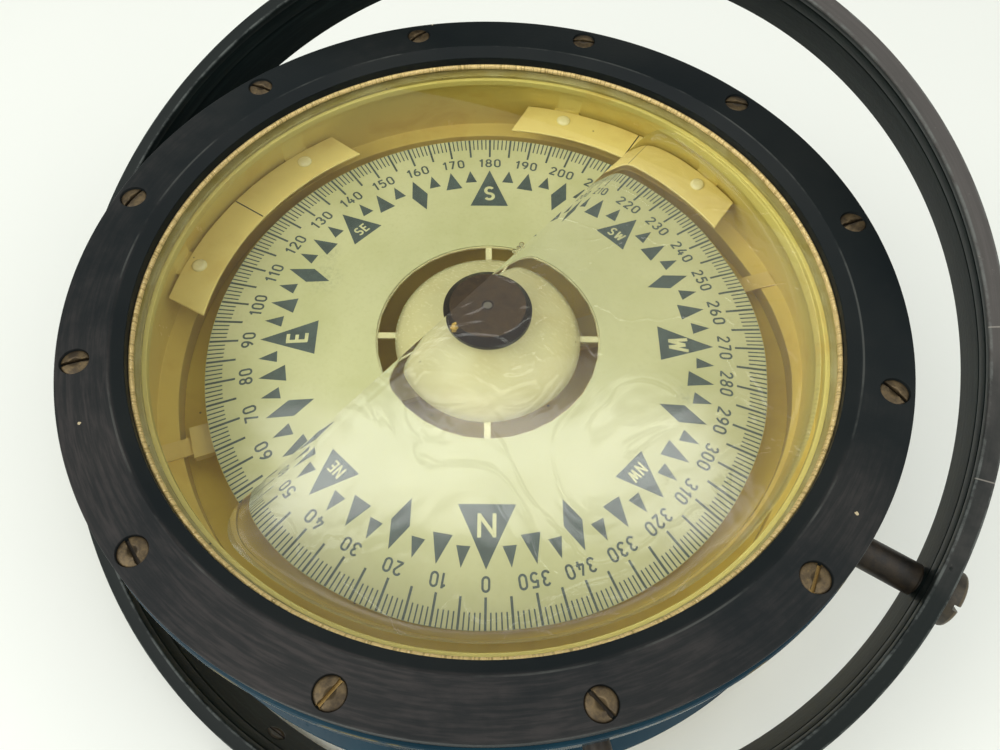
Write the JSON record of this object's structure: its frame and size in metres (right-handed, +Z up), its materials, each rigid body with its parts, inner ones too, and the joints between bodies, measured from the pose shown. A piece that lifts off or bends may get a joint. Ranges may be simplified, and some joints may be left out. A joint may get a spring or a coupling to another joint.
{
  "type": "ship compass",
  "caption": "Liquid-filled marine compass: round bowl with a floating degree card under a bolted cover glass, hung on pivots in a wide gimbal ring.",
  "frame": {"origin": "on the bowl's upright axis, at the surface that the ballast weight stands on", "axes": "+Z up, +X along the pivot axis between bowl and gimbal ring, -Y towards the ring's lowered side"},
  "size_m": [0.2546, 0.247, 0.1269],
  "materials": {
    "bowl_paint": "gloss blue-green enamel outside, cream inside",
    "black_enamel": "satin black, worn brown on the near side",
    "ring_enamel": "satin blue-black, edges worn",
    "bronze": "aged brown bronze, brassy in the slots",
    "brown_bronze": "dark brown patina",
    "packing": "coppery, glittering",
    "clear_glass": "polished",
    "gasket_rubber": "matt grey-green",
    "cream_paint": "satin cream",
    "card_face": "pale yellow-green with slate grey print",
    "cap_brown": "dull dark brown",
    "brass": "bright",
    "steel": "bright",
    "ballast_iron": "dark paint"
  },
  "bodies": {
    "bowl": {"bowl_shell": "bowl_paint", "bezel_ring": "black_enamel", "bezel_screw_01": "bronze", "bezel_screw_02": "bronze", "bezel_screw_03": "bronze", "bezel_screw_04": "bronze", "bezel_screw_05": "bronze", "bezel_screw_06": "bronze", "bezel_screw_07": "bronze", "bezel_screw_08": "bronze", "bezel_screw_09": "bronze", "bezel_screw_10": "bronze", "bezel_screw_11": "bronze", "bezel_screw_12": "bronze", "packing_ring": "packing", "cover_glass": "clear_glass", "lower_gasket": "gasket_rubber", "lubber_plate_01": "cream_paint", "lubber_plate_02": "cream_paint", "lubber_rivet_01": "cream_paint", "lubber_rivet_02": "cream_paint", "lubber_rivet_03": "cream_paint", "lubber_rivet_04": "cream_paint", "pivot_bridge": "cream_paint", "pivot_stem": "brass", "pivot_needle": "steel", "diaphragm": "cream_paint", "diaphragm_ring": "brass", "bottom_cover": "bowl_paint", "cover_screw_01": "bronze", "cover_screw_02": "bronze", "cover_screw_03": "bronze", "cover_screw_04": "bronze", "ballast_weight": "ballast_iron", "trunnion_boss_01": "brown_bronze", "trunnion_boss_02": "brown_bronze", "trunnion_screw_01": "bronze", "trunnion_screw_02": "bronze", "filler_plug": "brown_bronze", "filler_washer": "gasket_rubber"},
    "ring": {"gimbal_ring": "ring_enamel", "ring_stud_01": "brown_bronze", "ring_stud_02": "brown_bronze"},
    "card": {"compass_card": "card_face", "card_spider": "card_face", "float_dome": "card_face", "float_base": "card_face", "card_cap": "cap_brown", "jewel_cup": "brass", "card_magnet_01": "steel", "card_magnet_02": "steel"}
  },
  "joints": [
    {"name": "ring_swing", "type": "hinge", "parent": "bowl", "child": "ring", "pos_m": [0, 0, 0.06317], "axis": [1, 0, 0], "continuous": true},
    {"name": "card_turn", "type": "hinge", "parent": "bowl", "child": "card", "pos_m": [0, 0, 0.07422], "axis": [0, 0, 1], "continuous": true}
  ]
}
